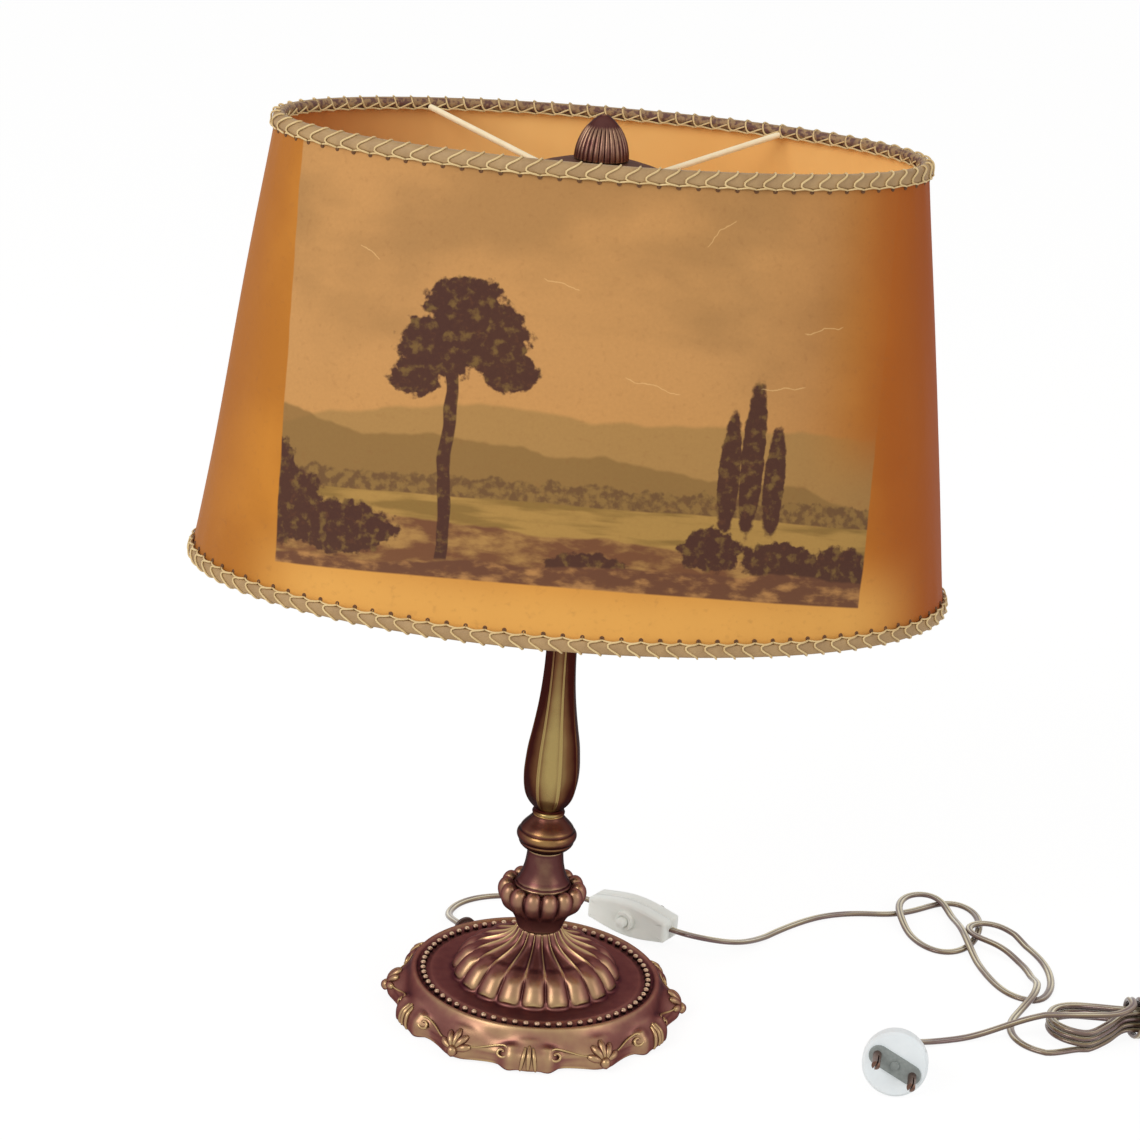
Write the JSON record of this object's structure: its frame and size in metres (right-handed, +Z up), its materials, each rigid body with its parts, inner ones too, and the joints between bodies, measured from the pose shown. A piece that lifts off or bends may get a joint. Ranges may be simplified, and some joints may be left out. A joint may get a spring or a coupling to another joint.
{
  "type": "table lamp",
  "caption": "Brass table lamp with a gadrooned foot and fluted stem, an oval parchment shade laced at its edges, and a tied hank of gold flex with a push switch and round plug.",
  "frame": {"origin": "centre of the underside of the foot, on the table", "axes": "+Z up the stem, +X to the right along the long way of the shade, -Y to the front with the plug's pins"},
  "size_m": [0.5353, 0.2654, 0.4393],
  "materials": {
    "dark_brass": "dark patina over cast brass, worn bright on the high places",
    "column_brass": "olive gold brass, lightly polished",
    "bright_brass": "plain turned brass",
    "plain_steel": "plated steel",
    "felt": "felt",
    "bush_rubber": "matt",
    "holder_plastic": "smooth",
    "bulb_glass": "opal",
    "shade_parchment": "amber parchment, satin",
    "binding": "laced with cream thread",
    "enamelled_wire": "cream enamel",
    "switch_plastic": "smooth moulded",
    "plug_plastic": "smooth moulded",
    "fibre": "pressed fibre",
    "flex": "clear gold twin flex"
  },
  "bodies": {
    "lamp": {"foot_casting": "dark_brass", "felt_pad": "felt", "cord_bush": "bush_rubber", "base_washer": "plain_steel", "base_nut": "bright_brass", "stem_tube": "bright_brass", "gadroon_cup": "dark_brass", "bell_neck": "dark_brass", "knop": "dark_brass", "vase_column": "column_brass", "column_cap": "column_brass", "cluster_body": "bright_brass", "tube_lock_nut": "bright_brass", "cluster_arms": "bright_brass", "holder_cups": "bright_brass", "lampholders": "holder_plastic", "socket_shells": "bright_brass", "center_contacts": "bright_brass", "shade_seat": "bright_brass", "inner_flex": "flex", "switch_upper_shell": "switch_plastic", "switch_lower_shell": "switch_plastic", "switch_collar": "switch_plastic", "switch_contacts": "bright_brass", "switch_screws": "plain_steel", "plug_front": "plug_plastic", "plug_cover": "plug_plastic", "plug_strip": "fibre", "plug_pins": "bright_brass", "plug_screw": "plain_steel", "cord_base_to_switch": "flex", "cord_switch_to_hank": "flex", "cord_hank": "flex", "cord_to_plug": "flex"},
    "shade": {"spider": "enamelled_wire", "top_wire_ring": "enamelled_wire", "bottom_wire_ring": "enamelled_wire", "shade_skin": "shade_parchment", "top_trim": "binding", "bottom_trim": "binding", "cap_plate": "column_brass"},
    "finial_nut": {"finial": "column_brass"},
    "button": {"switch_button": "switch_plastic", "button_spring": "plain_steel"},
    "bulb_left": {"bulb_left_cap": "plain_steel", "bulb_left_glass": "bulb_glass"},
    "bulb_right": {"bulb_right_cap": "plain_steel", "bulb_right_glass": "bulb_glass"}
  },
  "joints": [
    {"name": "shade_turn", "type": "hinge", "parent": "lamp", "child": "shade", "pos_m": [0, 0, 0.41], "axis": [0, 0, 1], "continuous": true},
    {"name": "finial_turn", "type": "hinge", "parent": "lamp", "child": "finial_nut", "pos_m": [0, 0, 0.43], "axis": [0, 0, 1], "continuous": true},
    {"name": "button_press", "type": "slide", "parent": "lamp", "child": "button", "axis": [0.5446, 0.8387, 0], "range_m": [0, 0.002], "stiffness_N_per_m": 400, "springref_m": -0.001},
    {"name": "bulb_left_turn", "type": "hinge", "parent": "lamp", "child": "bulb_left", "pos_m": [-0.045, 0, 0.27], "axis": [0, 0, 1], "continuous": true},
    {"name": "bulb_right_turn", "type": "hinge", "parent": "lamp", "child": "bulb_right", "pos_m": [0.045, 0, 0.27], "axis": [0, 0, 1], "continuous": true}
  ]
}
